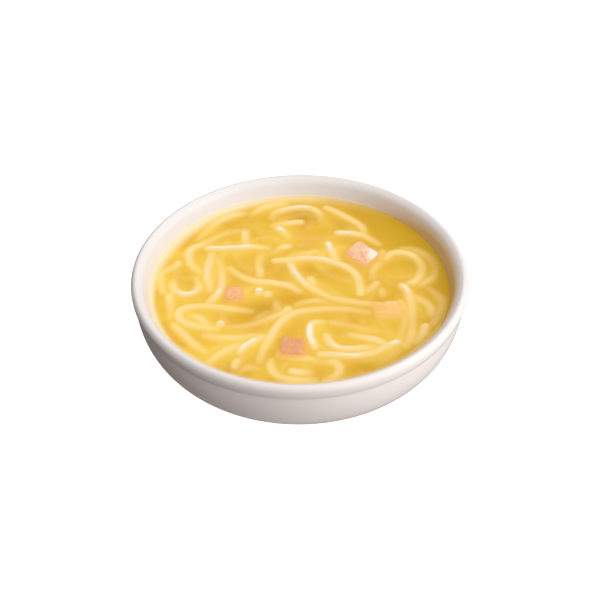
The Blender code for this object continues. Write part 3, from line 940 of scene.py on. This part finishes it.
def make_chicken():
    pieces = []
    for number in range(1, 5):
        node = f"chicken_{number}"
        piece = meat_body(f"chicken_dice_{number}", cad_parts[node].data)
        finish_dice(piece, number)
        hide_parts(node)
        pieces.append(piece)
    pieces.append(make_sunk_dice())
    return pieces


chicken = make_chicken()


# ---------------------------------------------------------------------- broth
# The broth is two closed bodies, one in the other, that reach just into the bowl's
# wall. The inner one is the cloud that nothing shows through, 1.3 mm down; the outer
# one is the clear, wet skin over it, which creeps up the wall and all that stands out.

BROTH_RINGS = 91
HAZE_DEPTH = 1.3 * MM
HAZE_TURN_STEPS = 480
HAZE_STEP = 0.75 * MM
BLUR_WIDTH = 1.9 * MM  # a noodle's pale shadow in the cloud reaches this far to each side
CLING_WIDTH = 2.6 * MM  # and the cloud rises round it this far out
CLING_RISE = 1.15 * MM
HALO_WIDTH = 5 * MM  # starch from the noodles pales the broth round them
SKIRT_WIDTH = 1.6 * MM  # the chicken's blurred edge
HAZE_COVER = 0.15 * MM  # the clear broth over the cloud at the wall
HAZE_BITE = 0.12 * MM  # how far the cloud reaches into the wall


def haze_profile():
    """The top from the middle out, up to the surface at the wall, then down along the wall."""
    profile = []
    for step in range(BROTH_RINGS):
        radius = min(step * HAZE_STEP, BROTH_EDGE + 0.1 * MM)
        share = min(1, max(0, (BROTH_EDGE - radius) / (6 * MM)))
        hollow = share * share * (3 - 2 * share)
        profile.append((radius, BROTH_LEVEL - HAZE_COVER - (HAZE_DEPTH - HAZE_COVER) * hollow))
    wall = inner_wall(-HAZE_BITE, BROTH_LEVEL - 2 * HAZE_COVER, 14)
    return profile + list(reversed(wall)) + [(0, INNER_FLOOR_HEIGHT - HAZE_BITE)]


def write_share(mesh, name, shares):
    mesh.attributes.new(name, "FLOAT", "POINT").data.foreach_set("value", shares)


def blur_noodles(mesh, paths):
    """Lifts the cloud round the noodles, and writes how much noodle shows through it."""
    points = []
    for path in paths:
        for point in path:
            middle = BROTH_LEVEL - point.z
            # A sunk noodle shows nearer than it lies, because it is looked at slantwise.
            ahead = DRIFT * max(0, middle - HAZE_DEPTH)
            top = max(0, middle - NOODLE_THICKNESS / 2)
            points.append((point.x, point.y - ahead, math.exp(-top / FADE_DEPTH)))
    tree = plan_tree(points)
    shares = []
    halos = []
    for corner in mesh.vertices:
        most = lift = halo = 0.0
        if corner.co.z > BROTH_LEVEL - 2 * HAZE_DEPTH:
            place = (corner.co.x, corner.co.y, 0)
            for _, number, distance in tree.find_range(place, 1.6 * HALO_WIDTH):
                near = points[number][2]
                halo += near * math.exp(-((distance / HALO_WIDTH) ** 2))
                if distance > 2.2 * BLUR_WIDTH:
                    continue
                most = max(most, near * math.exp(-((distance / BLUR_WIDTH) ** 3)))
                lift = max(lift, near * math.exp(-((distance / CLING_WIDTH) ** 4)))
        shares.append(most)
        halos.append(halo * NOODLE_STEP / HALO_WIDTH)
        room = max(0, BROTH_LEVEL - corner.co.z - (HAZE_DEPTH - CLING_RISE))
        corner.co.z += min(CLING_RISE, room) * lift
    write_share(mesh, "noodle", shares)
    write_share(mesh, "halo", halos)


def blur_meat(mesh, pieces):
    """The same for the chicken, and writes how brown it is."""
    trees = []
    for number, piece in enumerate(pieces, 1):
        top = max(corner.co.z for corner in piece.data.vertices)
        sunk = max(0, BROTH_LEVEL - top)
        level = min(top, BROTH_LEVEL) - 0.8 * MM
        ahead = DRIFT * max(0, sunk - HAZE_DEPTH)
        # The flank that faces the viewer shows through the broth as a wider skirt.
        rim = [(corner.co.x, corner.co.y - ahead - 0.6 * MM) for corner in piece.data.vertices
               if corner.co.z > level]
        brown = MEAT_TONES[number][3]
        trees.append((plan_tree(rim), 0.8 * math.exp(-sunk / FADE_DEPTH), brown))
    shares = []
    tones = []
    for corner in mesh.vertices:
        share = tone = 0.0
        if corner.co.z > BROTH_LEVEL - 2 * HAZE_DEPTH:
            for tree, near, brown in trees:
                distance = tree.find((corner.co.x, corner.co.y, 0))[2]
                here = near * math.exp(-((distance / SKIRT_WIDTH) ** 2))
                if here > share:
                    share, tone = here, brown
            room = max(0, BROTH_LEVEL - 0.05 * MM - corner.co.z)
            corner.co.z += room * min(1, 1.4 * share)
        shares.append(share)
        tones.append(tone)
    write_share(mesh, "meat", shares)
    write_share(mesh, "brown", tones)


def make_haze():
    body = turned("broth_depth", haze_profile(), HAZE_TURN_STEPS)
    mesh = body.data
    for corner in mesh.vertices:
        radius = math.hypot(corner.co.x, corner.co.y)
        if corner.co.z > BROTH_LEVEL - 2 * HAZE_DEPTH and radius < 60 * MM:
            swell = noise.noise(corner.co / (9 * MM))
            corner.co.z += 0.2 * MM * swell * min(1, (60 * MM - radius) / (10 * MM))
    blur_noodles(mesh, noodle_paths)
    blur_meat(mesh, chicken)
    mesh.update()
    flatten_shading(mesh, 0.8)
    # Opaque and without any shine, which all comes from the clear surface above it.
    paint, tree, shader = new_material("cloudy chicken broth")
    cloud = add(tree, "Group", node_tree=cloudy_broth)
    noodle = add(tree, "Attribute", attribute_name="noodle")
    meat = add(tree, "Attribute", attribute_name="meat")
    halo = add(tree, "Attribute", attribute_name="halo")
    starch = add(tree, "MapRange", {0: halo.outputs["Fac"], 1: 0.4, 2: 2.4, 4: 0.6})
    milky = add(tree, "Mix", {0: starch.outputs[0], 6: cloud.outputs[0], 7: srgb("F9DA66")})
    pale = add(tree, "Mix", {0: noodle.outputs["Fac"], 6: milky.outputs[2], 7: srgb("FFE5A0")})
    brown = add(tree, "Attribute", attribute_name="brown")
    flesh = add(tree, "Mix", {0: brown.outputs["Fac"], 6: srgb("F8CC7C"), 7: srgb("EEAE68")})
    pink = add(tree, "Mix", {0: meat.outputs["Fac"], 6: pale.outputs[2], 7: flesh.outputs[2]})
    plug(shader, {"Base Color": pink.outputs[2], "Roughness": 1.0, "Specular IOR Level": 0.0})
    mesh.materials.append(paint)
    body.visible_shadow = False
    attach(body, "root")


make_haze()

SURFACE_TURN_STEPS = 320
SURFACE_STEP = 0.76 * MM
SURFACE_BITE = 0.25 * MM  # how far the clear broth reaches into the wall
WALL_CREEP = 0.35 * MM  # how far it creeps up the wall


def surface_profile():
    profile = []
    edge = BROTH_EDGE + SURFACE_BITE
    for step in range(BROTH_RINGS):
        radius = min(SURFACE_STEP * step, edge)
        profile.append((radius, BROTH_LEVEL + WALL_CREEP * math.exp((radius - edge) / (1.2 * MM))))
    wall = inner_wall(-SURFACE_BITE, BROTH_LEVEL, 18)
    return profile + list(reversed(wall)) + [(0, INNER_FLOOR_HEIGHT - SURFACE_BITE)]


def make_surface():
    body = turned("broth_body", surface_profile(), SURFACE_TURN_STEPS)
    tips = [point for path in noodle_paths for point in path
            if point.z > BROTH_LEVEL - NOODLE_THICKNESS / 2]
    for piece in chicken:
        tips += [corner.co for corner in piece.data.vertices
                 if abs(corner.co.z - BROTH_LEVEL) < 0.5 * MM]
    tree = plan_tree(tips)
    for corner in body.data.vertices:
        if corner.co.z < BROTH_LEVEL - 0.1 * MM:
            continue
        place = Vector((corner.co.x, corner.co.y, 0))
        ripple = noise.noise(place / (16 * MM)) + 0.4 * noise.noise(place / (6 * MM))
        distance = tree.find(place)[2]
        creep = 0.3 * MM * math.exp(-max(0, distance - 0.8 * MM) / (0.9 * MM))
        corner.co.z += 0.05 * MM * ripple + creep
    paint, nodes, shader = new_material("broth surface")
    place = add(nodes, "TexCoord").outputs["Object"]
    clouds = add(nodes, "TexNoise", {"Vector": place, "Scale": 1 / (14 * MM), "Detail": 2.0})
    tone = add(nodes, "Mix", {0: clouds.outputs["Fac"], 6: srgb("F2C440"), 7: srgb("EEB838")})
    # Thin, clear and smooth: a wet shine over a faint yellow.
    plug(shader, {"Base Color": tone.outputs[2], "Roughness": 0.06, "Alpha": 0.10, "IOR": 1.34})
    body.data.materials.append(paint)
    body.visible_shadow = False
    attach(body, "root")
    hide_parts("broth")


make_surface()
